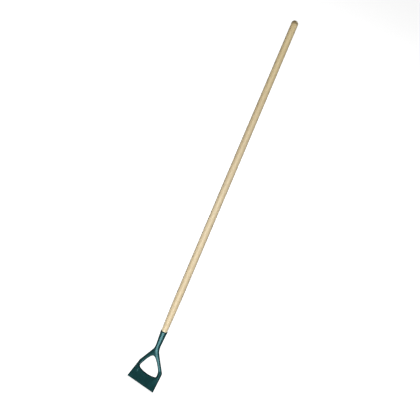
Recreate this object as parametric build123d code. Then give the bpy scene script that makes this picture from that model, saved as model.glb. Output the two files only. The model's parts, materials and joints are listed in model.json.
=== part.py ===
from build123d import *
import os
from math import cos, radians, sin

# Dutch hoe (push hoe) with a one-piece pressed steel head on a straight ash handle. Millimetres.
#
# Frame: +Z runs up the handle's axis, the blade is at the bottom, the seamless front of the head faces -Y
# and +X is to the right as seen from the front. The origin is on the handle's axis, in the middle of the
# cylindrical stretch that a hand or a tool clip holds.
#
# The pieces are drawn with z = 0 at the socket's rim and are moved to that origin at the end.
#
# The head's sheet is laid out flat in (x, v): x across, v up the sheet from the shoulder bend, so that the
# fork is at v > 0 and the blade at v < 0. Each half is drawn on its own plane, tilted about the bend.

# ---- Handle, heights above the socket's rim ----
SHAFT_RADIUS = 14.3            # 1 1/8 in ash, the cylindrical stretch
SHAFT_START = 170.0            # lower end of the cylindrical stretch
SHAFT_END = 780.0              # upper end of the cylindrical stretch
HANDLE_TOP = 1313.0            # crown of the domed end
TOP_RADIUS = 12.9              # of the domed end
ENTRY_RADIUS = 11.5            # bare wood just above the rim
ENTRY_CHAMFER = 3.0            # height of the chamfer that leads into the socket
TENON_DEPTH = 59.0             # wood inside the socket
TENON_CHAMFER = 1.2

# ---- Socket ----
RIM_RADIUS = 13.0              # outside, before the rim's small flare
NECK_RADIUS = 8.3              # outside, where the socket opens into the fork
SOCKET_LENGTH = 71.0
SOCKET_WALL = 2.0
RIM_FLARE = 0.8                # extra radius at the very rim
RIM_FLARE_HEIGHT = 3.0
SEAM_WIDTH = 1.2               # butted seam down the back of the socket
BACK_OPENING_TOP = 44.0        # below the rim, a slanting cut opens the back of the socket into the fork
BACK_OPENING_REACH = 15.0      # how far behind the axis that cut starts
BACK_OPENING_NECK = 3.7        # how far behind the neck it passes
BACK_OPENING_END = 18.0        # how far down the fork it meets the sheet's back
NOSE_LENGTH = 22.0             # how far the socket's round front runs on down the fork
NOSE_TAPER = 1.2               # radius lost over that length

# ---- Fork and blade, one pressed sheet ----
SHEET = 2.5
RIB_HEIGHT = 8.3               # front of a rib above the sheet's back
RIB_ROUNDING = 6.0             # radius of a rib's front edges
FORK_TILT = 9.5                # degrees, the fork leans back (+Y) going down
BLADE_TILT = 19.5              # degrees, the blade leans forward (-Y) going down
FORK_LENGTH = 82.4             # neck to shoulder bend, along the sheet
BLADE_LENGTH = 76.8            # shoulder bend to cutting edge, along the sheet
BLADE_WIDTH = 129.0            # nominal 5 in across the cutting edge
SHOULDER_WIDTH = 112.0         # across the sheet at the bend
NECK_WIDTH = 16.6              # across the sheet at the neck
NECK_FILLET = 14.0
SHOULDER_FILLET = 12.0
BEVEL_LENGTH = 5.0             # up the back face from the cutting edge
EDGE_THICKNESS = 0.9
RIB_FADE = 56.0                # how far below the bend the ribs die out in the blade
RIB_HOLLOW_FADE = 42.0         # how far below the bend the hollows behind them do
RIB_TIP_X = 55.5               # inner side of a rib where it dies out

# ---- Opening between the arms ----
OPENING_APEX = 52.9            # v where its two sides would meet without the crotch's rounding
OPENING_CORNER = (44.8, -20.6) # (x, v) of its right lower corner before rounding
OPENING_SIDE_BOW = 5.5         # the sides bow outward by this much
OPENING_SAG = 8.1              # the lower rim bows down by this much
OPENING_AT_BEND = 37.0         # half width where the sheet bends
CROTCH_RADIUS = 16.0
OPENING_CORNER_RADIUS = 9.0

# ---- Fixing screw, beside the seam on the left of the socket's back ----
SCREW_ANGLE = 40.0             # degrees behind the left side
SCREW_DEPTH = 14.0             # below the rim
SCREW_HEAD_RADIUS = 4.0
SCREW_HEAD_HEIGHT = 2.4
SCREW_SHANK_RADIUS = 2.1
SCREW_LENGTH = 18.0
SCREW_TIP = 4.0
SLOT_WIDTH = 1.0
SLOT_DEPTH = 1.1
SPOT_FACE = 0.35               # depth of the flat pressed into the socket under the head
SCREW_CLEARANCE = 0.25         # round the head in its spot face and round the shank in the steel

LAP = 2.0                      # how far joined shapes run into each other
OVERRUN = 12.0                 # how far shapes run on before they are cut back
WIDE = 200.0                   # larger than the head in every direction

GRIP_MIDDLE = (SHAFT_START + SHAFT_END) / 2
BORE_RIM_RADIUS = RIM_RADIUS - SOCKET_WALL
BORE_NECK_RADIUS = NECK_RADIUS - SOCKET_WALL

across = Vector(1, 0, 0)
fork_up = Vector(0, -sin(radians(FORK_TILT)), cos(radians(FORK_TILT)))
blade_up = Vector(0, sin(radians(BLADE_TILT)), cos(radians(BLADE_TILT)))
bend_point = Vector(0, 0, -SOCKET_LENGTH) - fork_up * FORK_LENGTH
fork_plane = Plane(origin=bend_point, x_dir=across, z_dir=across.cross(fork_up))
blade_plane = Plane(origin=bend_point, x_dir=across, z_dir=across.cross(blade_up))
bend_direction = (fork_plane.z_dir + blade_plane.z_dir).normalized()
bend_plane = Plane(origin=bend_point, x_dir=across, z_dir=bend_direction.cross(across))


def socket_radius(depth):
    """Outer radius of the socket's cone at a depth below the rim."""
    return RIM_RADIUS - (RIM_RADIUS - NECK_RADIUS) * depth / SOCKET_LENGTH


def frustum(top_radius, top_z, bottom_radius, bottom_z):
    """Cone about Z between two radii."""
    corners = [(0, top_z), (top_radius, top_z), (bottom_radius, bottom_z), (0, bottom_z)]
    profile = make_face(Polyline(*corners, close=True))
    return revolve(Plane.XZ * profile, Axis.Z)


# ---- The pressed sheet, laid out flat ----


def sheet_outline(inset=0.0):
    """Outer outline of fork and blade, with the neck carried on into the socket."""
    right = [
        (NECK_WIDTH / 2, FORK_LENGTH + OVERRUN),
        (NECK_WIDTH / 2, FORK_LENGTH),
        (SHOULDER_WIDTH / 2, 0),
        (BLADE_WIDTH / 2, -BLADE_LENGTH),
    ]
    left = [(-x, v) for x, v in reversed(right)]
    outline = make_face(Polyline(*right, *left, close=True))
    necks = outline.vertices().filter_by_position(Axis.Y, FORK_LENGTH - 1, FORK_LENGTH + 1)
    outline = fillet(necks, NECK_FILLET)
    shoulders = outline.vertices().filter_by_position(Axis.Y, -1, 1)
    outline = fillet(shoulders, SHOULDER_FILLET)
    return offset(outline, -inset) if inset else outline


def opening_outline(inset=0.0):
    """The opening between the arms, grown by inset."""
    apex = Vector(0, OPENING_APEX)
    corner = Vector(*OPENING_CORNER)
    side = corner - apex
    outward = Vector(-side.Y, side.X).normalized()
    side_middle = (apex + corner) / 2 + outward * OPENING_SIDE_BOW
    left_corner = Vector(-corner.X, corner.Y)
    left_middle = Vector(-side_middle.X, side_middle.Y)
    outline = make_face(
        [
            ThreePointArc(apex, side_middle, corner),
            ThreePointArc(corner, Vector(0, corner.Y - OPENING_SAG), left_corner),
            ThreePointArc(left_corner, left_middle, apex),
        ]
    )
    lower_corners = outline.vertices().filter_by_position(Axis.Y, corner.Y - 1, corner.Y + 1)
    outline = fillet(lower_corners, OPENING_CORNER_RADIUS)
    outline = fillet(outline.vertices().sort_by(Axis.Y)[-1], CROTCH_RADIUS)
    return offset(outline, inset) if inset else outline


def layout(low_v, high_v, inset=0.0):
    """The sheet without its opening, between two heights of the layout."""
    band = Pos(0, (low_v + high_v) / 2) * Rectangle(WIDE, high_v - low_v)
    return (sheet_outline(inset) - opening_outline(inset)) & band


def fork_block(inset=0.0):
    """Neck, crotch web and arms as a block with rounded front edges; inset gives the hollow inside it."""
    top_v = FORK_LENGTH + LAP
    height = RIB_HEIGHT - inset
    block = extrude(layout(-OVERRUN, top_v, inset), height)
    front_edges = block.edges().filter_by_position(Axis.Z, height - 0.01, height + 0.01)
    rounded = front_edges.filter_by_position(Axis.Y, 0.5 - OVERRUN, top_v - 0.5)
    return fillet(rounded, RIB_ROUNDING - inset)


def side_x(v):
    """Half width of the blade, whose sides run straight from shoulder to corner."""
    return (SHOULDER_WIDTH + (SHOULDER_WIDTH - BLADE_WIDTH) * v / BLADE_LENGTH) / 2


def rib_section(v, middle, width, height):
    """Face across a rib, flat behind and rounded in front."""
    section = Pos(middle, height / 2) * Rectangle(width, height)
    rounding = min(RIB_ROUNDING * height / RIB_HEIGHT, 0.4 * width)
    section = fillet(section.vertices().group_by(Axis.Y)[-1], rounding)
    return Plane(origin=(0, v, 0), x_dir=(1, 0, 0), z_dir=(0, -1, 0)) * section


def ribs(inset=0.0):
    """The two arms' ribs carried on into the blade, dying out towards its corners."""
    height = RIB_HEIGHT - inset
    fade = RIB_HOLLOW_FADE if inset else RIB_FADE
    corner_x, corner_v = OPENING_CORNER
    arm_slope = (corner_x - OPENING_AT_BEND) / -corner_v
    stations = [
        (OVERRUN, OPENING_AT_BEND - arm_slope * OVERRUN, height),
        (0, OPENING_AT_BEND, height),
        (corner_v, corner_x, height),
        (-fade, RIB_TIP_X, 0.1),
    ]
    sections = []
    for v, x_inner, lift in stations:
        width = max(side_x(v) - x_inner - 2 * inset, 1)
        sections.append(rib_section(v, (x_inner + side_x(v)) / 2, width, lift))
    right = loft(sections, ruled=True)
    return right + mirror(right, Plane.YZ)


def blade_block():
    """The flat blade with its ribs, ground to an edge from behind."""
    plate = extrude(layout(-WIDE, OVERRUN), SHEET)
    rib_limits = extrude(layout(-WIDE, OVERRUN), RIB_HEIGHT + 1)
    bevel = Polyline(
        (-BLADE_LENGTH, SHEET - EDGE_THICKNESS),
        (-BLADE_LENGTH + BEVEL_LENGTH, 0),
        (-BLADE_LENGTH + BEVEL_LENGTH, -SHEET),
        (-BLADE_LENGTH - OVERRUN, -SHEET),
        (-BLADE_LENGTH - OVERRUN, SHEET - EDGE_THICKNESS),
        close=True,
    )
    grind = extrude(Plane.YZ * make_face(bevel), BLADE_WIDTH, both=True)
    return plate + (ribs() & rib_limits) - grind


# ---- Head ----


def above_bend(solid):
    return split(fork_plane * solid, bend_plane, keep=Keep.TOP)


def below_bend(solid):
    return split(blade_plane * solid, bend_plane, keep=Keep.BOTTOM)


def nose(radius):
    """The socket's round shape run on down the fork, getting lower."""
    start = Pos(0, FORK_LENGTH, 0)
    cone = start * Rot(90, 0, 0) * frustum(radius, 0, radius - NOSE_TAPER, NOSE_LENGTH)
    return fork_plane * (cone + start * Sphere(radius))


def socket_bore():
    return frustum(BORE_RIM_RADIUS, 0, BORE_NECK_RADIUS, -SOCKET_LENGTH)


def seam():
    """Butted seam down the socket's back."""
    return Pos(0, RIM_RADIUS, -SOCKET_LENGTH / 2) * Box(SEAM_WIDTH, 2 * RIM_RADIUS, SOCKET_LENGTH + 2)


def back_opening():
    """Everything behind the slanting cut that opens the socket's back, and behind the fork below it."""
    neck = Vector(0, 0, -SOCKET_LENGTH)
    top = Vector(0, BACK_OPENING_REACH, -BACK_OPENING_TOP)
    flush = neck - fork_up * BACK_OPENING_END
    below = neck - fork_up * (NOSE_LENGTH + OVERRUN)
    cut = ThreePointArc(top, neck + Vector(0, BACK_OPENING_NECK, 0), flush)
    rest = Polyline(flush, below, Vector(0, WIDE, below.Z), Vector(0, WIDE, top.Z), top)
    return extrude(make_face([cut, rest]), WIDE, both=True)


def screw_place():
    """On the socket's back left, local +Z pointing out through the screw's head."""
    outward = Vector(-cos(radians(SCREW_ANGLE)), sin(radians(SCREW_ANGLE)), 0)
    seat = outward * (socket_radius(SCREW_DEPTH) - SPOT_FACE)
    return Plane(origin=seat - Vector(0, 0, SCREW_DEPTH), x_dir=(0, 0, 1), z_dir=outward)


def screw_hole():
    spot = Cylinder(SCREW_HEAD_RADIUS + SCREW_CLEARANCE, OVERRUN, align=(Align.CENTER, Align.CENTER, Align.MIN))
    shank = Cylinder(SCREW_SHANK_RADIUS + SCREW_CLEARANCE, OVERRUN)
    return screw_place() * (spot + Pos(0, 0, -LAP / 2) * shank)


def head():
    flare = frustum(RIM_RADIUS + RIM_FLARE, 0, socket_radius(RIM_FLARE_HEIGHT), -RIM_FLARE_HEIGHT)
    socket = frustum(RIM_RADIUS, 0, NECK_RADIUS, -SOCKET_LENGTH) + flare
    outside = socket + nose(NECK_RADIUS) + above_bend(fork_block()) + below_bend(blade_block())
    hollow = socket_bore() + nose(BORE_NECK_RADIUS) + above_bend(fork_block(SHEET)) + below_bend(ribs(SHEET))
    return outside - hollow - seam() - back_opening() - screw_hole()


# ---- Screw and handle ----


def screw():
    """Round-head slotted wood screw, drawn along +Z with the underside of its head at 0."""
    shoulder_z = SCREW_TIP - SCREW_LENGTH
    dome = ThreePointArc(
        (SCREW_HEAD_RADIUS, 0), (0.72 * SCREW_HEAD_RADIUS, 0.72 * SCREW_HEAD_HEIGHT), (0, SCREW_HEAD_HEIGHT)
    )
    rest = Polyline(
        (0, SCREW_HEAD_HEIGHT),
        (0, -SCREW_LENGTH),
        (SCREW_SHANK_RADIUS, shoulder_z),
        (SCREW_SHANK_RADIUS, 0),
        (SCREW_HEAD_RADIUS, 0),
    )
    body = revolve(Plane.XZ * make_face([dome, rest]), Axis.Z)
    slot = Pos(0, 0, SCREW_HEAD_HEIGHT) * Box(3 * SCREW_HEAD_RADIUS, SLOT_WIDTH, 2 * SLOT_DEPTH)
    return screw_place() * (body - slot)


def handle():
    """Turned ash: tenon, bare chamfer, lower swell, cylinder, slow upper taper and domed end."""
    slope = (BORE_RIM_RADIUS - BORE_NECK_RADIUS) / SOCKET_LENGTH
    tenon_radius = BORE_RIM_RADIUS - slope * TENON_DEPTH
    dome_base = HANDLE_TOP - TOP_RADIUS
    tenon = Polyline(
        (0, -TENON_DEPTH),
        (tenon_radius - TENON_CHAMFER, -TENON_DEPTH),
        (tenon_radius + slope * TENON_CHAMFER, TENON_CHAMFER - TENON_DEPTH),
        (BORE_RIM_RADIUS, 0),
        (ENTRY_RADIUS, ENTRY_CHAMFER),
    )
    swell = TangentArc((SHAFT_RADIUS, SHAFT_START), (ENTRY_RADIUS, ENTRY_CHAMFER), tangent=(0, -1))
    shaft = Polyline((SHAFT_RADIUS, SHAFT_START), (SHAFT_RADIUS, SHAFT_END), (TOP_RADIUS, dome_base))
    dome = CenterArc((0, dome_base), TOP_RADIUS, 0, 90)
    axis = Line((0, HANDLE_TOP), (0, -TENON_DEPTH))
    wood = revolve(Plane.XZ * make_face([tenon, swell, shaft, dome, axis]), Axis.Z)
    return wood - screw()


def main():
    os.makedirs("parts", exist_ok=True)
    to_grip = Pos(0, 0, -GRIP_MIDDLE)
    pieces = {"head": head(), "handle": handle(), "socket_screw": screw()}
    for name, piece in pieces.items():
        export_step(to_grip * piece, f"parts/{name}.step")


main()
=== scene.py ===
import json
import math

import bmesh
import bpy
import numpy as np
from mathutils import Matrix, Vector


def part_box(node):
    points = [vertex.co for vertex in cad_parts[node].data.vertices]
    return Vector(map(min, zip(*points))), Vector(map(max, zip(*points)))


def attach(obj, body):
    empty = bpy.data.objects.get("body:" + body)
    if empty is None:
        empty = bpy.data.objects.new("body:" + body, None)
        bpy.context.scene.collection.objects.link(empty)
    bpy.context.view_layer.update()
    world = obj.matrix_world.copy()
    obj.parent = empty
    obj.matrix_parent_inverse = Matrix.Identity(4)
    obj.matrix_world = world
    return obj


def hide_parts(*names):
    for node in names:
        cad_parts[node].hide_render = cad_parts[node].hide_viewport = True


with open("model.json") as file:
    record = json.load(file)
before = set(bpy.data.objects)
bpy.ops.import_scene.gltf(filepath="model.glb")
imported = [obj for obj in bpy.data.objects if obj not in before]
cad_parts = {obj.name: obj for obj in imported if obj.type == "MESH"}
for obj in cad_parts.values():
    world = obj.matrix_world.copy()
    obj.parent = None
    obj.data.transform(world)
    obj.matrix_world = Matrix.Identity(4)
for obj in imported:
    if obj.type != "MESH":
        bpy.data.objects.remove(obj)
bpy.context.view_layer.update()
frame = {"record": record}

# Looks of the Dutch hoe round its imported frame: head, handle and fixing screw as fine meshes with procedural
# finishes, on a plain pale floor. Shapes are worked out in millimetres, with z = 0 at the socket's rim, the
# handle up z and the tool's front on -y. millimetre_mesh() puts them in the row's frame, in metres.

MM = 0.001
BODY = "root"

# ---- Sizes read from the frame ----

head_low, head_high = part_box("head")
handle_low, handle_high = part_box("handle")
shaft_mount = frame["record"]["mounts"][0]
RIM_Z = head_high.z
HALF_BLADE = head_high.x / MM
HEAD_BOTTOM = (head_low.z - RIM_Z) / MM
HANDLE_TOP = (handle_high.z - RIM_Z) / MM
TENON_DEPTH = (RIM_Z - handle_low.z) / MM
SHAFT_RADIUS = shaft_mount["dims"]["r_mm"]
SHAFT_HALF = shaft_mount["dims"]["length_mm"] / 2

# ---- Head, in millimetres ----
# v is height up the unbent sheet from the shoulder bend, and h is height in front of the sheet's back, which
# is also the socket's axis.

# Conical socket
RIM_RADIUS = 13.0
NECK_RADIUS = 8.3
SOCKET_LENGTH = 71.0
SOCKET_WALL = 2.0
RIM_FLARE = 1.0
RIM_FLARE_DECAY = 1.8
SEAM_HALF = 0.6
SEAM_LENGTH = 44.0

# Outline of the sheet and its two bends
SHEET = 2.5
FORK_LENGTH = 82.4
BLADE_LENGTH = 76.8
HALF_NECK = 8.3
HALF_SHOULDER = 56.0
FORK_TILT = math.radians(9.5)
BLADE_TILT = math.radians(19.5)
NECK_BEND_RADIUS = 90.0
SHOULDER_BEND_RADIUS = 31.0
RIM_V = FORK_LENGTH + SOCKET_LENGTH

# Raised ribs along the outer edges: the web above the opening is higher and wider, and down the blade's
# sides they widen and die out
RIB_HEIGHT = 8.3
RIB_WIDTH = 11.5
WEB_RISE = 2.4
WEB_SPREAD = 5.0
WEB_SPAN = (34.0, 60.0)
FADE_SPREAD = 11.0
SPREAD_SPAN = (5.0, -45.0)
RIB_FADE = (-72.0, -8.0)
RIB_REACH = 17.0
RIB_INNER_SLOPE = 8.0
ARM_REACH = 30.0
ARM_REACH_SPAN = (-20.0, 10.0)

# Opening between the arms
OPENING_APEX = 52.9
OPENING_CORNER = (44.8, -20.6)
OPENING_SIDE_BOW = 5.5
OPENING_SAG = 8.1
OPENING_DRAFT = 0.4
DRAFT_SPAN = (-14.0, 12.0)
CROTCH_ROUNDING = 14.0
CORNER_ROUNDING = 10.5
ROLL_DROP = 1.5
ROLL_WIDTH = 7.0
ROLL_SPAN = (-8.0, -22.0)

# Back: the hollow behind the ribs, the slanting cut that opens the socket, and the socket's foot, whose axis
# sinks behind the fork
HOLLOW_CLEARANCE = 0.4
HOLLOW_RUN = 3.0
CUT_DROP = 18.0
CUT_DEPTH = RIM_RADIUS + 2.0
CUT_CURVE = 1.5
CUT_LIMIT = 1.2
FOOT_LENGTH = 24.0
FOOT_SINK = 5.0
FOOT_LIMIT = 1.5

# Edge ground from behind
BEVEL_LENGTH = 5.0
EDGE_THICKNESS = 0.9

# How softly surfaces meet
EDGE_ROUNDING = 1.8
NECK_BLEND = 8.0
SHOULDER_BLEND = 1.6
CENTRE_BLEND = 6.0
RIB_BLEND = 1.0
OPENING_BLEND = 0.6
SOCKET_BLEND = 4.0
RIM_BLEND = 0.8
CUT_BLEND = 1.4
HOLLOW_BLEND = 3.0
HOLLOW_END_BLEND = 2.0
LIP_BLEND = 1.3
SEAM_BLEND = 0.5
FINE_BLEND = 0.4

# Painted shade along edges, a point attribute that the material reads: how far it reaches from the blade's
# sides and from the opening, the share of that reach where it is darkest, and where it starts down the head
SHADE_ATTRIBUTE = "painted_edge_shade"
SIDE_SHADE_REACH = 3.5
RIM_SHADE_REACH = 7.0
SHADE_CORE = 0.3
SHADE_SPAN = (4.0, -10.0)

# ---- Handle and fixing screw, in millimetres ----

TENON_CHAMFER = 1.5
ENTRY_RADIUS = 11.5
ENTRY_HEIGHT = 3.0
ENTRY_ROUNDING = (0.25, 0.6)
SWELL_START = ENTRY_HEIGHT + 0.3
TOP_RADIUS = 12.9

SCREW_ANGLE = math.radians(40.0)
SCREW_DEPTH = 14.0
SCREW_LENGTH = 18.0
SCREW_HEAD_RADIUS = 4.0
SCREW_HEAD_HEIGHT = 2.4
SCREW_SHANK_RADIUS = 2.1
SCREW_TIP_LENGTH = 4.0
SCREW_CLEARANCE = 0.3
SLOT_HALF = 0.5
SLOT_DEPTH = 1.1
SHANK_OVERLAP = 0.5
SPOT_FACE = 0.35
SPOT_BLEND = 0.3
SCREW_BLEND = 0.4
SCREW_FINE_BLEND = 0.2
SLOT_EDGE_BLEND = 0.25

# ---- Fineness of the meshes, in millimetres ----

HEAD_STEP = 0.68
HEAD_MARGIN = 2.0
SCREW_STEP = 0.25
SCREW_MARGIN = 1.0
GRADIENT_REACH = 0.05
LEAST_SLOPE = 0.05
RELAX_ROUNDS = 3
WELD_DISTANCE = 0.001
HANDLE_SIDES = 96
TENON_RINGS = 8
SWELL_RINGS = 30
SHAFT_RINGS = 90
TAPER_RINGS = 80
DOME_RINGS = 16


# ---- Fields: negative inside, in millimetres ----


def smooth_max(a, b, blend):
    """Larger of two fields, rounded over where they are within blend of each other."""
    h = np.clip(0.5 + 0.5 * (a - b) / blend, 0.0, 1.0)
    return b + (a - b) * h + blend * h * (1.0 - h)


def smooth_min(a, b, blend):
    return -smooth_max(-a, -b, blend)


def smooth_step(low, high, value):
    """0 at low, 1 at high and smooth between; low may be the larger."""
    t = np.clip((value - low) / (high - low), 0.0, 1.0)
    return t * t * (3.0 - 2.0 * t)


def line_field(x, v, start, end):
    """Signed distance to a line in the layout, positive on the right of start-to-end seen going down."""
    run_x, run_v = end[0] - start[0], end[1] - start[1]
    length = math.hypot(run_x, run_v)
    return ((x - start[0]) * -run_v + (v - start[1]) * run_x) / length


def circle_through(a, b, c):
    """Centre and radius of the circle through three points."""
    ax, ay, bx, by, cx, cy = *a, *b, *c
    d = 2 * (ax * (by - cy) + bx * (cy - ay) + cx * (ay - by))
    a2, b2, c2 = ax * ax + ay * ay, bx * bx + by * by, cx * cx + cy * cy
    ux = (a2 * (by - cy) + b2 * (cy - ay) + c2 * (ay - by)) / d
    uy = (a2 * (cx - bx) + b2 * (ax - cx) + c2 * (bx - ax)) / d
    return (ux, uy), math.hypot(ax - ux, ay - uy)


def side_field(x, v):
    """The sheet's outline on its right-hand side: neck strip, arm spreading to the shoulder, blade."""
    neck = x - HALF_NECK
    arm = line_field(x, v, (HALF_NECK, FORK_LENGTH), (HALF_SHOULDER, 0.0))
    blade = line_field(x, v, (HALF_SHOULDER, 0.0), (HALF_BLADE, -BLADE_LENGTH))
    return smooth_max(smooth_min(neck, arm, NECK_BLEND), blade, SHOULDER_BLEND)


def sides_field(x, v):
    """The sheet's outline on both sides, endless up and down."""
    return smooth_max(side_field(x, v), side_field(-x, v), CENTRE_BLEND)


def outline_field(x, v):
    """The sheet's outer outline down to the cutting edge."""
    return np.maximum(sides_field(x, v), -BLADE_LENGTH - v)


def opening_field(x, v):
    """The opening between the arms: bowed sides, rounded crotch and corners, sagging lower rim."""
    ax = np.abs(x)
    near = ax < CROTCH_ROUNDING
    ax = np.where(near, ax * ax / (2 * CROTCH_ROUNDING) + CROTCH_ROUNDING / 2, ax)
    apex, corner = (0.0, OPENING_APEX), OPENING_CORNER
    run = (corner[0] - apex[0], corner[1] - apex[1])
    bow = OPENING_SIDE_BOW / math.hypot(*run)
    middle = (run[0] / 2 - run[1] * bow, (apex[1] + corner[1]) / 2 + run[0] * bow)
    (side_x, side_v), side_radius = circle_through(apex, middle, corner)
    side = np.hypot(ax - side_x, v - side_v) - side_radius
    lowest = (0.0, corner[1] - OPENING_SAG)
    (rim_x, rim_v), rim_radius = circle_through(corner, lowest, (-corner[0], corner[1]))
    rim = np.hypot(x - rim_x, v - rim_v) - rim_radius
    return smooth_max(side, rim, CORNER_ROUNDING)


def unfold(y, z):
    """v and h of points in the side view, by undoing the sheet's two bends."""
    neck = np.array([0.0, -SOCKET_LENGTH])
    socket_down = np.array([0.0, -1.0])
    fork_down = np.array([math.sin(FORK_TILT), -math.cos(FORK_TILT)])
    blade_down = np.array([-math.sin(BLADE_TILT), -math.cos(BLADE_TILT)])
    shoulder = neck + fork_down * FORK_LENGTH

    def straight(origin, down, v_there):
        front = (down[1], -down[0])
        dy, dz = y - origin[0], z - origin[1]
        return v_there - dy * down[0] - dz * down[1], dy * front[0] + dz * front[1]

    def bend(origin, v_there, upper, lower, radius, centre_in_front):
        """Upper leg, arc and lower leg of one bend."""
        turn = math.acos(upper @ lower)
        tangent = radius * math.tan(turn / 2)
        down = (upper + lower) / np.linalg.norm(upper + lower)
        toward_front = np.array([down[1], -down[0]])
        to_centre = toward_front if centre_in_front else -toward_front
        centre = origin + to_centre * radius / math.cos(turn / 2)
        dy, dz = y - centre[0], z - centre[1]
        angle = np.arctan2(-dy * down[0] - dz * down[1], -dy * to_centre[0] - dz * to_centre[1])
        v_arc = v_there + angle * 2 * tangent / turn
        h_arc = (radius - np.hypot(dy, dz)) * (1 if centre_in_front else -1)
        above, below = angle > turn / 2, angle < -turn / 2
        v_up, h_up = straight(origin, upper, v_there)
        v_low, h_low = straight(origin, lower, v_there)
        v = np.where(above, v_up, np.where(below, v_low, v_arc))
        return v, np.where(above, h_up, np.where(below, h_low, h_arc))

    top = bend(neck, FORK_LENGTH, socket_down, fork_down, NECK_BEND_RADIUS, centre_in_front=False)
    low = bend(shoulder, 0.0, fork_down, blade_down, SHOULDER_BEND_RADIUS, centre_in_front=True)
    upper_half = z > (neck[1] + shoulder[1]) / 2
    return np.where(upper_half, top[0], low[0]), np.where(upper_half, top[1], low[1])


def rounded_slab(edge, h, height, rounding):
    """Field of a slab below height with rounded top edges; edge is the outline's field."""
    across, up = edge + rounding, h - (height - rounding)
    outside = np.hypot(np.maximum(across, 0), np.maximum(up, 0))
    return np.minimum(np.maximum(across, up), 0) + outside - rounding


def front_height(x, v):
    """h of the sheet's front: quarter rounds along both outer edges, dying out down the blade's sides."""
    inward = -sides_field(x, v)
    web = smooth_step(*WEB_SPAN, v)
    spread = FADE_SPREAD * smooth_step(*SPREAD_SPAN, v)
    width = RIB_WIDTH + WEB_SPREAD * web + spread
    crown = np.sqrt(1 - np.clip(1 - inward / width, 0, 1) ** 2)
    reach = RIB_REACH + spread + ARM_REACH * smooth_step(*ARM_REACH_SPAN, v)
    crown = crown * (1 - smooth_step(reach - RIB_INNER_SLOPE, reach, inward))
    return smooth_max((RIB_HEIGHT + WEB_RISE * web) * crown * smooth_step(*RIB_FADE, v), SHEET, RIB_BLEND)


def pressed_sheet(x, v, h):
    """Fields of the sheet with its ribs and opening, and of the hollow behind the ribs."""
    opening = opening_field(x, v)
    rolled = np.clip(1 - opening / ROLL_WIDTH, 0, 1) ** 2
    height = front_height(x, v) - ROLL_DROP * rolled * smooth_step(*ROLL_SPAN, v)
    drafted = opening - OPENING_DRAFT * smooth_step(*DRAFT_SPAN, v) * np.maximum(h, 0)
    edge = smooth_max(outline_field(x, v), -drafted, OPENING_BLEND)
    hollow = np.maximum(edge + SHEET, h - height + SHEET + HOLLOW_CLEARANCE)
    hollow = smooth_max(hollow, v - FORK_LENGTH - HOLLOW_RUN, HOLLOW_END_BLEND)
    return rounded_slab(edge, h, height, EDGE_ROUNDING), hollow


def socket_tube(x, v, h):
    """Fields of the socket's outside and bore."""
    above_neck = v - FORK_LENGTH
    sink = FOOT_SINK * np.clip(-above_neck / FOOT_LENGTH, 0.0, FOOT_LIMIT) ** 2
    from_axis = np.hypot(x, h + sink)
    radius = NECK_RADIUS + (RIM_RADIUS - NECK_RADIUS) * np.maximum(above_neck, 0) / SOCKET_LENGTH
    flare = RIM_FLARE * np.exp((v - RIM_V) / RIM_FLARE_DECAY)
    return from_axis - radius - flare, from_axis - (radius - SOCKET_WALL)


def socket_radius(depth):
    """The socket's outer radius at a depth below the rim, without the flare."""
    return RIM_RADIUS - (RIM_RADIUS - NECK_RADIUS) * depth / SOCKET_LENGTH


def back_cut(above_neck):
    """h at which the steel starts: the socket opens behind in a slanting cut."""
    opening = SOCKET_LENGTH - SEAM_LENGTH
    rise = np.clip((above_neck + CUT_DROP) / (opening + CUT_DROP), 0.0, CUT_LIMIT)
    return -CUT_DEPTH * rise**CUT_CURVE


def ground_edge(v, h):
    """What is ground away behind the cutting edge, as a field positive in it."""
    drop = (SHEET - EDGE_THICKNESS) / BEVEL_LENGTH
    return (SHEET - EDGE_THICKNESS - (v + BLADE_LENGTH) * drop - h) / math.hypot(1, drop)


def screw_seat(x, y, z):
    """The spot face and hole for the fixing screw, in the socket's wall."""
    out_x, out_y = -math.cos(SCREW_ANGLE), math.sin(SCREW_ANGLE)
    outward = x * out_x + y * out_y
    aside = np.hypot(x * out_y - y * out_x, z + SCREW_DEPTH)
    seat = socket_radius(SCREW_DEPTH) - SPOT_FACE
    spot = smooth_max(aside - SCREW_HEAD_RADIUS - SCREW_CLEARANCE, seat - outward, SPOT_BLEND)
    hole = np.maximum(aside - SCREW_SHANK_RADIUS - SCREW_CLEARANCE, -outward)
    return np.minimum(spot, hole)


def head_field(x, y, z):
    """The pressed head: socket, fork and blade, hollow behind."""
    v, h = unfold(y, z)
    above_neck = v - FORK_LENGTH
    sheet, hollow = pressed_sheet(x, v, h)
    tube, bore = socket_tube(x, v, h)

    sheet = smooth_max(sheet, back_cut(np.minimum(above_neck, 0)) - h, CUT_BLEND)
    outside = smooth_min(sheet, tube, SOCKET_BLEND)
    outside = smooth_max(outside, v - RIM_V, RIM_BLEND)
    outside = smooth_max(outside, back_cut(above_neck) - h, CUT_BLEND)
    steel = smooth_max(outside, -smooth_min(hollow, bore, HOLLOW_BLEND), LIP_BLEND)

    seam = np.maximum(smooth_max(np.abs(x) - SEAM_HALF, h, SEAM_BLEND), v - RIM_V)
    steel = smooth_max(steel, -seam, FINE_BLEND)
    steel = smooth_max(steel, ground_edge(v, h), FINE_BLEND)
    return np.maximum(steel, -screw_seat(x, y, z))


def painted_edge_shade(x, y, z):
    """How strongly painted shade darkens the enamel, 0 to 1: along the blade's sides and the opening's lower
    rim.
    """
    v, _ = unfold(y, z)
    from_side = -np.maximum(side_field(x, v), side_field(-x, v))
    nearest = np.minimum(from_side / SIDE_SHADE_REACH, opening_field(x, v) / RIM_SHADE_REACH)
    return (1 - smooth_step(SHADE_CORE, 1.0, nearest)) * smooth_step(*SHADE_SPAN, v)


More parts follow.
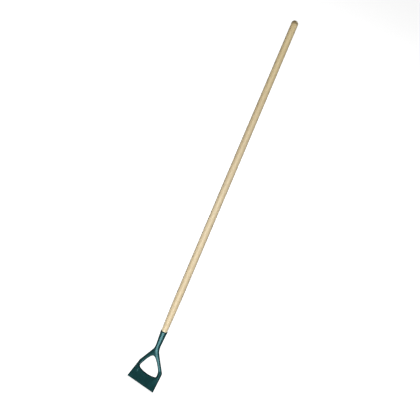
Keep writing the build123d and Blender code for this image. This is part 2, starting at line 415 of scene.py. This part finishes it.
def screw_field(x, y, z):
    """Round-head slotted screw along +x, the underside of its head at x = 0."""
    aside = np.hypot(y, z)
    dome_radius = (SCREW_HEAD_RADIUS**2 + SCREW_HEAD_HEIGHT**2) / (2 * SCREW_HEAD_HEIGHT)
    ball = np.hypot(aside, x - SCREW_HEAD_HEIGHT + dome_radius) - dome_radius
    head = smooth_max(ball, -x, SCREW_BLEND)
    slot = smooth_max(np.abs(y) - SLOT_HALF, SCREW_HEAD_HEIGHT - SLOT_DEPTH - x, SCREW_FINE_BLEND)
    head = smooth_max(head, -slot, SLOT_EDGE_BLEND)
    tip = aside - SCREW_SHANK_RADIUS * np.clip((x + SCREW_LENGTH) / SCREW_TIP_LENGTH, 0, 1)
    shank = np.maximum(tip, aside - SCREW_SHANK_RADIUS)
    shank = smooth_max(shank, x - SHANK_OVERLAP, SCREW_FINE_BLEND)
    return smooth_min(head, shank, SCREW_BLEND)


# ---- Mesh from a field ----

CELL_CORNERS = [(i, j, k) for i in (0, 1) for j in (0, 1) for k in (0, 1)]


def gradient(field, points):
    columns = []
    for axis in np.eye(3) * GRADIENT_REACH:
        columns.append((field(*(points + axis).T) - field(*(points - axis).T)) / (2 * GRADIENT_REACH))
    return np.stack(columns, -1)


def settled(field, points, step):
    """Points moved onto the field's zero surface, by half a step at most."""
    slope = gradient(field, points)
    steepness = np.maximum((slope * slope).sum(-1, keepdims=True), LEAST_SLOPE)
    move = field(*points.T)[:, None] * slope / steepness
    return points - np.clip(move, -step / 2, step / 2)


def relaxed(points, quads):
    """Each point moved to the middle of its neighbours."""
    total, hits = np.zeros_like(points), np.zeros(len(points))
    for side in range(4):
        a, b = quads[:, side], quads[:, (side + 1) % 4]
        np.add.at(total, a, points[b])
        np.add.at(total, b, points[a])
        np.add.at(hits, a, 1)
        np.add.at(hits, b, 1)
    return total / hits[:, None]


def sampled(field, low, high, step):
    """The field on a grid between two corners, one level at a time."""
    axes = [np.arange(a, b + step, step) for a, b in zip(low, high)]
    values = np.empty([len(a) for a in axes], np.float32)
    x, y = np.meshgrid(axes[0], axes[1], indexing="ij")
    for k, z in enumerate(axes[2]):
        values[:, :, k] = field(x, y, np.full_like(x, z))
    return values


def crossed_cells(inside):
    """Grid cells with corners on both sides of the surface."""
    size = [n - 1 for n in inside.shape]
    count = np.zeros(size, np.int8)
    for i, j, k in CELL_CORNERS:
        count += inside[i : i + size[0], j : j + size[1], k : k + size[2]]
    return np.argwhere((count > 0) & (count < len(CELL_CORNERS)))


def cell_points(values, cells):
    """One point for each cell, in grid units: the middle of where the surface crosses the cell's edges."""
    at = {c: values[tuple((cells + c).T)] for c in CELL_CORNERS}
    total, hits = np.zeros((len(cells), 3)), np.zeros(len(cells))
    for a in CELL_CORNERS:
        for axis in range(3):
            if a[axis]:
                continue
            b = tuple(1 if n == axis else a[n] for n in range(3))
            crossed = (at[a] < 0) != (at[b] < 0)
            share = np.where(crossed, at[a] / np.where(crossed, at[a] - at[b], 1), 0)
            spot = np.array(a, float) + share[:, None] * np.eye(3)[axis]
            total += spot * crossed[:, None]
            hits += crossed
    return cells + total / hits[:, None]


def cell_quads(inside, cells):
    """A quad for each grid edge that the surface crosses, joining the points of the four cells round it."""
    index = np.full([n - 1 for n in inside.shape], -1, np.int64)
    index[tuple(cells.T)] = np.arange(len(cells))
    quads = []
    for axis in range(3):
        first = [slice(1, -1)] * 3
        first[axis] = slice(0, -1)
        second = list(first)
        second[axis] = slice(1, None)
        here, there = inside[tuple(first)], inside[tuple(second)]
        edge = np.argwhere(here != there) + [0 if n == axis else 1 for n in range(3)]
        u, w = (axis + 1) % 3, (axis + 2) % 3
        ring = []
        for du, dw in ((-1, -1), (0, -1), (0, 0), (-1, 0)):
            cell = edge.copy()
            cell[:, u] += du
            cell[:, w] += dw
            ring.append(index[tuple(cell.T)])
        quad = np.stack(ring, -1)
        flip = ~inside[tuple(edge.T)]
        quad[flip] = quad[flip][:, ::-1]
        quads.append(quad)
    return np.concatenate(quads)


def surface_net(field, low, high, step):
    """Even quad mesh of a field's zero surface."""
    values = sampled(field, low, high, step)
    inside = values < 0
    cells = crossed_cells(inside)
    quads = cell_quads(inside, cells)
    points = np.array(low) + cell_points(values, cells) * step
    for _ in range(RELAX_ROUNDS):
        points = settled(field, settled(field, relaxed(points, quads), step), step)
    return points, quads


def millimetre_mesh(name, points, quads):
    """A smooth-shaded object in the row's frame from points in millimetres above the rim."""
    mesh = bpy.data.meshes.new(name)
    placed = np.asarray(points) * MM + [0, 0, RIM_Z]
    mesh.vertices.add(len(placed))
    mesh.vertices.foreach_set("co", placed.astype(np.float32).ravel())
    mesh.loops.add(quads.size)
    mesh.loops.foreach_set("vertex_index", quads.astype(np.int32).ravel())
    mesh.polygons.add(len(quads))
    mesh.polygons.foreach_set("loop_start", np.arange(0, quads.size, 4, dtype=np.int32))
    mesh.polygons.foreach_set("use_smooth", np.ones(len(quads), bool))
    mesh.update(calc_edges=True)
    mesh.validate()
    piece = bpy.data.objects.new(name, mesh)
    bpy.context.scene.collection.objects.link(piece)
    return piece


def stand_for(piece, node, material):
    """Gives a piece its material and puts it in place of a CAD node."""
    piece.data.materials.append(material)
    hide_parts(node)
    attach(piece, BODY)


# ---- Pieces ----


def build_head(material):
    low = (-HALF_BLADE - HEAD_MARGIN, head_low.y / MM - HEAD_MARGIN, HEAD_BOTTOM - HEAD_MARGIN)
    high = (HALF_BLADE + HEAD_MARGIN, head_high.y / MM + HEAD_MARGIN, HEAD_MARGIN)
    points, quads = surface_net(head_field, low, high, HEAD_STEP)
    piece = millimetre_mesh("hoe_head", points, quads)
    # Painted shade along the blade's sides and the opening's lower rim, kept on the points for the material
    edge_shade = piece.data.attributes.new(SHADE_ATTRIBUTE, "FLOAT", "POINT")
    edge_shade.data.foreach_set("value", painted_edge_shade(*points.T).astype(np.float32))
    stand_for(piece, "head", material)


def handle_profile():
    """Radius and height up the handle: tenon, entry, swell, shaft, upper taper and domed top."""
    rim_bore = RIM_RADIUS - SOCKET_WALL
    neck_bore = NECK_RADIUS - SOCKET_WALL
    tenon_end = rim_bore - (rim_bore - neck_bore) * TENON_DEPTH / SOCKET_LENGTH
    profile = [(0.0, -TENON_DEPTH)]
    profile.append((tenon_end - TENON_CHAMFER, -TENON_DEPTH))
    profile.append((tenon_end, -TENON_DEPTH + TENON_CHAMFER))
    for share in np.linspace(0.1, 0.95, TENON_RINGS):
        profile.append((tenon_end + (rim_bore - tenon_end) * share, -TENON_DEPTH * (1 - share)))
    profile.append((rim_bore, 0.0))
    profile.append((ENTRY_RADIUS - ENTRY_ROUNDING[0], ENTRY_HEIGHT - ENTRY_ROUNDING[1]))

    shaft_start = -RIM_Z / MM - SHAFT_HALF
    shaft_end = -RIM_Z / MM + SHAFT_HALF
    swell_rise = SHAFT_RADIUS - ENTRY_RADIUS
    swell_radius = ((shaft_start - ENTRY_HEIGHT) ** 2 + swell_rise**2) / (2 * swell_rise)
    for z in np.linspace(SWELL_START, shaft_start, SWELL_RINGS):
        profile.append((SHAFT_RADIUS - swell_radius + math.sqrt(swell_radius**2 - (shaft_start - z) ** 2), z))
    for z in np.linspace(shaft_start, shaft_end, SHAFT_RINGS)[1:]:
        profile.append((SHAFT_RADIUS, z))

    dome_base = HANDLE_TOP - TOP_RADIUS
    for z in np.linspace(shaft_end, dome_base, TAPER_RINGS)[1:]:
        share = (z - shaft_end) / (dome_base - shaft_end)
        profile.append((SHAFT_RADIUS + (TOP_RADIUS - SHAFT_RADIUS) * share, z))
    for angle in np.linspace(0, math.pi / 2, DOME_RINGS)[1:-1]:
        profile.append((TOP_RADIUS * math.cos(angle), dome_base + TOP_RADIUS * math.sin(angle)))
    profile.append((0.0, HANDLE_TOP))
    return np.array(profile)


def revolved(profile, sides):
    """Points and quads of a profile turned round the z axis."""
    turn = np.linspace(0, 2 * math.pi, sides, endpoint=False)
    radius, height = profile[:, :1], profile[:, 1:]
    points = np.stack([radius * np.cos(turn), radius * np.sin(turn), height + 0 * turn], -1).reshape(-1, 3)
    row, column = np.meshgrid(np.arange(len(profile) - 1), np.arange(sides), indexing="ij")
    after = (column + 1) % sides
    below, above = row * sides, (row + 1) * sides
    quads = np.stack([below + column, below + after, above + after, above + column], -1)
    return points, quads.reshape(-1, 4)


def close_ends(mesh):
    """Joins each ring of zero radius into one point on the axis."""
    shape = bmesh.new()
    shape.from_mesh(mesh)
    bmesh.ops.remove_doubles(shape, verts=shape.verts, dist=WELD_DISTANCE * MM)
    shape.to_mesh(mesh)
    shape.free()


def build_handle(material):
    piece = millimetre_mesh("ash_handle", *revolved(handle_profile(), HANDLE_SIDES))
    close_ends(piece.data)
    stand_for(piece, "handle", material)


def build_screw(material):
    reach = SCREW_HEAD_RADIUS + SCREW_MARGIN
    low = (-SCREW_LENGTH - SCREW_MARGIN, -reach, -reach)
    high = (SCREW_HEAD_HEIGHT + SCREW_MARGIN, reach, reach)
    points, quads = surface_net(screw_field, low, high, SCREW_STEP)
    out = np.array([-math.cos(SCREW_ANGLE), math.sin(SCREW_ANGLE), 0])
    up = np.array([0.0, 0.0, 1.0])
    side = np.cross(up, out)
    seat = out * (socket_radius(SCREW_DEPTH) - SPOT_FACE) - up * SCREW_DEPTH
    placed = seat + points @ np.stack([out, side, up])
    piece = millimetre_mesh("socket_screw_round_head", placed, quads)
    stand_for(piece, "socket_screw", material)


# ---- Materials: colours are linear, masks are heights above the rim in millimetres ----

ENAMEL_DEEP = (0.0050, 0.042, 0.044)
ENAMEL_LIGHT = (0.0085, 0.060, 0.063)
ENAMEL_SCUFFED = (0.035, 0.060, 0.060)
# Colour of the painted shade along the blade's sides and the opening's lower rim
ENAMEL_EDGE_SHADE = (0.001, 0.008, 0.009)
# Painted shade: a dark band round the socket's rim
RIM_SHADE_COLOUR = (0.004, 0.012, 0.009)
RIM_SHADE_MASK = (-2.4, -1.2)
SCUFF_MASK = (HEAD_BOTTOM + 9.0, HEAD_BOTTOM)

# How far the handle's axis lies from the tree's pith, and the width of a year's growth, in metres
PITH = (0.048, 0.021, 0.0)
RING_SPACING = 0.0031
ASH_DEEP = (0.80, 0.645, 0.395)
ASH_PALE = (0.90, 0.750, 0.490)
EARLY_WOOD = (0.62, 0.455, 0.245)
PORE = (0.36, 0.235, 0.11)
UPPER_TINT = (0.94, 0.925, 0.80)
UPPER_MASK = (700.0, HANDLE_TOP)
STAIN = (0.50, 0.34, 0.15)
STAIN_MASK = (1130.0, 1230.0)
END_GRAIN = (0.40, 0.29, 0.12)
END_GRAIN_MASK = (HANDLE_TOP - 9.0, HANDLE_TOP)
# Painted highlight: a paler band on the handle's chamfer just above the rim
CHAMFER_HIGHLIGHT = (0.86, 0.80, 0.56)
CHAMFER_HIGHLIGHT_MASKS = ((5.0, 3.6), (0.6, 1.6))
# Painted shadow: a dark band on the handle where it enters the socket's mouth
MOUTH_SHADOW = (0.035, 0.050, 0.038)
MOUTH_SHADOW_MASKS = ((1.7, 0.9), (-1.0, -0.4))

ZINC_DULL = (0.45, 0.44, 0.40)
ZINC_BRIGHT = (0.62, 0.61, 0.57)


class Nodes:
    """A material, with short calls that build its node tree."""

    def __init__(self, name):
        self.material = bpy.data.materials.new(name)
        self.material.use_nodes = True
        self.tree = self.material.node_tree
        self.shader = self.tree.nodes["Principled BSDF"]

    def feed(self, socket, source):
        """Links a node's output to a socket, or sets the socket's own value."""
        if isinstance(source, bpy.types.NodeSocket):
            self.tree.links.new(source, socket)
        elif socket.type == "RGBA":
            socket.default_value = (*source, 1)
        else:
            socket.default_value = source

    def set(self, socket, source):
        self.feed(self.shader.inputs[socket], source)

    def add(self, kind, sources, **settings):
        node = self.tree.nodes.new(kind)
        for key, value in settings.items():
            setattr(node, key, value)
        for socket, source in sources.items():
            self.feed(node.inputs[socket], source)
        return node

    def where(self):
        return self.add("ShaderNodeTexCoord", {}).outputs["Object"]

    def math(self, operation, a, b=0.0):
        return self.add("ShaderNodeMath", {0: a, 1: b}, operation=operation).outputs[0]

    def times(self, a, b):
        return self.math("MULTIPLY", a, b)

    def plus(self, a, b):
        return self.math("ADD", a, b)

    def minus(self, a, b):
        return self.math("SUBTRACT", a, b)

    def noise(self, where, scale, detail=2.0, rough=0.5):
        sources = {"Vector": where, "Scale": scale, "Detail": detail, "Roughness": rough}
        return self.add("ShaderNodeTexNoise", sources).outputs["Fac"]

    def ramp(self, value, *stops):
        """A colour ramp; a stop's colour is linear RGB or one grey level."""
        node = self.add("ShaderNodeValToRGB", {"Fac": value})
        elements = node.color_ramp.elements
        while len(elements) < len(stops):
            elements.new(0.5)
        for element, (place, colour) in zip(elements, stops):
            element.position = place
            element.color = (*colour, 1) if isinstance(colour, tuple) else (colour, colour, colour, 1)
        return node.outputs["Color"]

    def mix(self, a, b, share, blend="MIX"):
        sources = {0: share, 6: a, 7: b}
        return self.add("ShaderNodeMix", sources, data_type="RGBA", blend_type=blend).outputs[2]

    def shaded(self, colour, shade, share):
        return self.mix(colour, shade, share, "MULTIPLY")

    def placed(self, where, scale, location=(0.0, 0.0, 0.0)):
        sources = {"Vector": where, "Location": location, "Scale": scale}
        return self.add("ShaderNodeMapping", sources).outputs[0]

    def rise(self, where, low, high):
        """Mask going smoothly from 0 to 1 between two heights above the rim, in millimetres."""
        z = self.add("ShaderNodeSeparateXYZ", {0: where}).outputs["Z"]
        limits = {0: z, 1: RIM_Z + low * MM, 2: RIM_Z + high * MM}
        return self.add("ShaderNodeMapRange", limits, interpolation_type="SMOOTHSTEP").outputs[0]

    def band(self, where, rises):
        """Mask that is 1 between two heights and goes smoothly to 0 past both."""
        return self.times(*[self.rise(where, *limits) for limits in rises])

    def bump(self, height, strength, distance):
        sources = {"Height": height, "Strength": strength, "Distance": distance}
        self.set("Normal", self.add("ShaderNodeBump", sources).outputs["Normal"])


def enamel():
    """Blue-green enamel: cloudy colour, orange peel, painted shade and more gloss along the edges, painted
    shade and duller paint round the rim, scuffs at the cutting edge."""
    n = Nodes("blue_green_enamel")
    where = n.where()
    cloud = n.noise(where, scale=35.0, detail=4.0)
    mottle = n.noise(where, scale=170.0, detail=3.0)
    peel = n.noise(where, scale=900.0)
    scratches = n.ramp(n.noise(where, scale=420.0, detail=5.0, rough=0.7), (0.58, 0.0), (0.66, 1.0))
    scuffs = n.times(scratches, n.rise(where, *SCUFF_MASK))
    edge_shade = n.add("ShaderNodeAttribute", {}, attribute_name=SHADE_ATTRIBUTE).outputs["Fac"]
    # Mask of the painted shade round the socket's rim
    rim = n.rise(where, *RIM_SHADE_MASK)

    colour = n.ramp(cloud, (0.3, ENAMEL_DEEP), (0.7, ENAMEL_LIGHT))
    colour = n.shaded(colour, n.ramp(mottle, (0.3, 0.72), (0.7, 1.25)), share=0.35)
    colour = n.mix(colour, ENAMEL_SCUFFED, share=n.times(scuffs, 0.5))
    # Painted shade: the socket's rim darkened
    colour = n.mix(colour, RIM_SHADE_COLOUR, share=rim)
    # Painted shade darkens the enamel along the blade's sides and the opening's lower rim
    colour = n.mix(colour, ENAMEL_EDGE_SHADE, share=n.times(edge_shade, 0.8))
    n.set("Base Color", colour)

    rough = n.plus(n.times(cloud, 0.10), 0.24)
    rough = n.plus(rough, n.times(scuffs, 0.2))
    rough = n.minus(rough, n.times(edge_shade, 0.17))
    n.set("Roughness", n.plus(rough, n.times(rim, 0.3)))
    n.set("Specular IOR Level", 0.9)
    n.set("Specular Tint", (0.45, 0.92, 1.0))
    n.bump(n.minus(peel, n.times(scuffs, 0.6)), strength=0.12, distance=0.0004)
    return n.material


def ash():
    """Turned ash: growth rings round a pith beside the handle, open pores, fibres and a thin satin finish,
    with a painted highlight on the chamfer and a painted shadow at the socket's rim, and a stain and end grain
    at the top."""
    n = Nodes("turned_ash")
    where = n.where()
    slow = n.placed(where, scale=(1.0, 1.0, 0.10))
    long = n.placed(where, scale=(1.0, 1.0, 0.03))
    across = n.placed(where, scale=(1.0, 1.0, 0.0), location=PITH)
    from_pith = n.add("ShaderNodeVectorMath", {0: across}, operation="LENGTH").outputs["Value"]
    wander = n.times(n.noise(slow, scale=14.0), 4.0)
    rings = n.math("FRACT", n.plus(n.math("DIVIDE", from_pith, RING_SPACING), wander))
    early = n.ramp(rings, (0.0, 1.0), (0.10, 0.75), (0.38, 0.12), (0.92, 0.0), (1.0, 1.0))
    fibres = n.noise(long, scale=900.0, detail=4.0, rough=0.6)
    pores = n.times(n.ramp(n.noise(long, scale=1500.0), (0.56, 0.0), (0.66, 1.0)), early)
    blotches = n.ramp(n.noise(slow, scale=55.0), (0.45, 0.0), (0.62, 1.0))
    stain = n.times(blotches, n.rise(where, *STAIN_MASK))
    chamfer_highlight = n.band(where, CHAMFER_HIGHLIGHT_MASKS)

    colour = n.ramp(n.noise(slow, scale=30.0), (0.3, ASH_DEEP), (0.7, ASH_PALE))
    colour = n.mix(colour, EARLY_WOOD, share=n.times(early, 0.45))
    colour = n.mix(colour, PORE, share=n.times(pores, 0.45))
    colour = n.shaded(colour, n.ramp(fibres, (0.35, 0.80), (0.6, 1.0)), share=0.35)
    colour = n.shaded(colour, UPPER_TINT, share=n.rise(where, *UPPER_MASK))
    colour = n.mix(colour, STAIN, share=n.times(stain, 0.5))
    colour = n.mix(colour, END_GRAIN, share=n.times(n.rise(where, *END_GRAIN_MASK), 0.45))
    # Painted highlight on the handle's chamfer just above the rim
    colour = n.mix(colour, CHAMFER_HIGHLIGHT, share=chamfer_highlight)
    # Painted shadow where the handle enters the socket
    colour = n.mix(colour, MOUTH_SHADOW, share=n.band(where, MOUTH_SHADOW_MASKS))
    n.set("Base Color", colour)

    rough = n.plus(n.times(early, 0.12), 0.38)
    n.set("Roughness", n.plus(rough, n.times(chamfer_highlight, 0.3)))
    n.set("Sheen Weight", 0.3)
    n.set("Sheen Roughness", 0.5)
    n.bump(n.minus(n.times(fibres, 0.4), pores), strength=0.25, distance=0.0003)
    return n.material


def zinc():
    """Bright zinc plate, clouded, with fine grit."""
    n = Nodes("zinc_plate")
    where = n.where()
    cloud = n.noise(where, scale=900.0, detail=4.0)
    grit = n.noise(where, scale=3000.0, detail=3.0)
    colour = n.ramp(cloud, (0.3, ZINC_DULL), (0.7, ZINC_BRIGHT))
    n.set("Base Color", n.shaded(colour, n.ramp(grit, (0.35, 0.55), (0.6, 1.0)), share=0.4))
    n.set("Metallic", 1.0)
    n.set("Roughness", n.plus(n.times(cloud, 0.25), 0.25))
    n.bump(grit, strength=0.15, distance=0.0001)
    return n.material


# ---- Stage, light and camera, in metres ----

FLOOR_REACH = 60.0
FLOOR_GLOW = 0.85
WORLD_STRENGTH = 0.10
WHITE = (1.0, 1.0, 1.0)

# Camera: direction from the object, roll, width of the view at the object, and how far to the right of and
# above the object's middle it aims
AZIMUTH = math.radians(29.90)
ELEVATION = math.radians(20.50)
ROLL = math.radians(22.99)
DISTANCE = 40.0
FRAME_WIDTH = 1.5342
AIM_OFFSET = (-0.031142, -0.023906)


def on_axis(above_rim):
    """The point on the handle's axis at a height above the rim."""
    return Vector((0, 0, RIM_Z + above_rim))


def direction(azimuth, elevation):
    """Unit vector from angles in radians; azimuth 0 is in front of the object, on -y."""
    cos_e = math.cos(elevation)
    return Vector((math.sin(azimuth) * cos_e, -math.cos(azimuth) * cos_e, math.sin(elevation)))


def build_floor():
    """A white light table at the object's lowest point, which lets soft light through from below."""
    n = Nodes("pale_floor")
    n.set("Base Color", (0.8, 0.8, 0.8))
    n.set("Roughness", 0.9)
    n.set("Emission Color", WHITE)
    n.set("Emission Strength", FLOOR_GLOW)
    mesh = bpy.data.meshes.new("floor")
    floor_z = min(head_low.z, handle_low.z)
    corners = [(-1, -1), (1, -1), (1, 1), (-1, 1)]
    mesh.from_pydata([(x * FLOOR_REACH, y * FLOOR_REACH, floor_z) for x, y in corners], [], [(0, 1, 2, 3)])
    mesh.materials.append(n.material)
    floor = bpy.data.objects.new("floor", mesh)
    bpy.context.scene.collection.objects.link(floor)
    floor.visible_shadow = False
    floor.visible_diffuse = False
    floor.visible_glossy = False


def build_camera():
    middle = Vector((0, 0, (head_low.z + handle_high.z) / 2))
    back = direction(AZIMUTH, ELEVATION)
    level = Vector((math.cos(AZIMUTH), math.sin(AZIMUTH), 0))
    upright = back.cross(level)
    right = level * math.cos(ROLL) + upright * math.sin(ROLL)
    up = upright * math.cos(ROLL) - level * math.sin(ROLL)
    place = middle + right * AIM_OFFSET[0] + up * AIM_OFFSET[1] + back * DISTANCE
    data = bpy.data.cameras.new("camera")
    data.sensor_width = 36.0
    data.lens = data.sensor_width * DISTANCE / FRAME_WIDTH
    data.clip_end = 200.0
    camera = bpy.data.objects.new("camera", data)
    camera.matrix_world = Matrix.Translation(place) @ Matrix((right, up, back)).transposed().to_4x4()
    bpy.context.scene.collection.objects.link(camera)
    bpy.context.scene.camera = camera


def area_light(name, angles, distance, about, facing, size, power):
    """A round soft light, standing off from the axis at the height about in a direction given in degrees,
    and turned to the axis at the height facing; both heights are above the rim."""
    place = on_axis(about) + direction(*map(math.radians, angles)) * distance
    light = bpy.data.lights.new(name, "AREA")
    light.shape = "DISK"
    light.size = size
    light.energy = power
    lamp = bpy.data.objects.new(name, light)
    lamp.location = place
    lamp.rotation_mode = "QUATERNION"
    lamp.rotation_quaternion = (on_axis(facing) - place).to_track_quat("-Z", "Y")
    lamp.visible_camera = False
    bpy.context.scene.collection.objects.link(lamp)


def build_world():
    """Dim white light from all round, behind a backdrop that the camera sees as plain white."""
    world = bpy.data.worlds.new("studio")
    world.use_nodes = True
    tree = world.node_tree
    background = tree.nodes["Background"]
    background.inputs["Color"].default_value = (*WHITE, 1)
    background.inputs["Strength"].default_value = WORLD_STRENGTH
    backdrop = tree.nodes.new("ShaderNodeBackground")
    backdrop.inputs["Color"].default_value = (*WHITE, 1)
    seen = tree.nodes.new("ShaderNodeLightPath").outputs["Is Camera Ray"]
    choice = tree.nodes.new("ShaderNodeMixShader")
    tree.links.new(seen, choice.inputs[0])
    tree.links.new(background.outputs[0], choice.inputs[1])
    tree.links.new(backdrop.outputs[0], choice.inputs[2])
    tree.links.new(choice.outputs[0], tree.nodes["World Output"].inputs["Surface"])
    bpy.context.scene.world = world
    bpy.context.scene.view_settings.view_transform = "Standard"


def build_lights():
    area_light("key", (30, -30), 3.0, about=-0.145, facing=0.175, size=3.2, power=124.0)
    area_light("arm_fill", (-25, -45), 3.0, about=-0.145, facing=-0.075, size=1.3, power=3.5)
    area_light("handle_fill", (42, 30), 2.5, about=0.975, facing=0.925, size=1.5, power=14.0)
    area_light("back_fill", (190, 40), 4.0, about=-0.145, facing=0.275, size=2.5, power=80.0)


build_camera()
build_world()
build_lights()
build_floor()
build_head(enamel())
build_handle(ash())
build_screw(zinc())
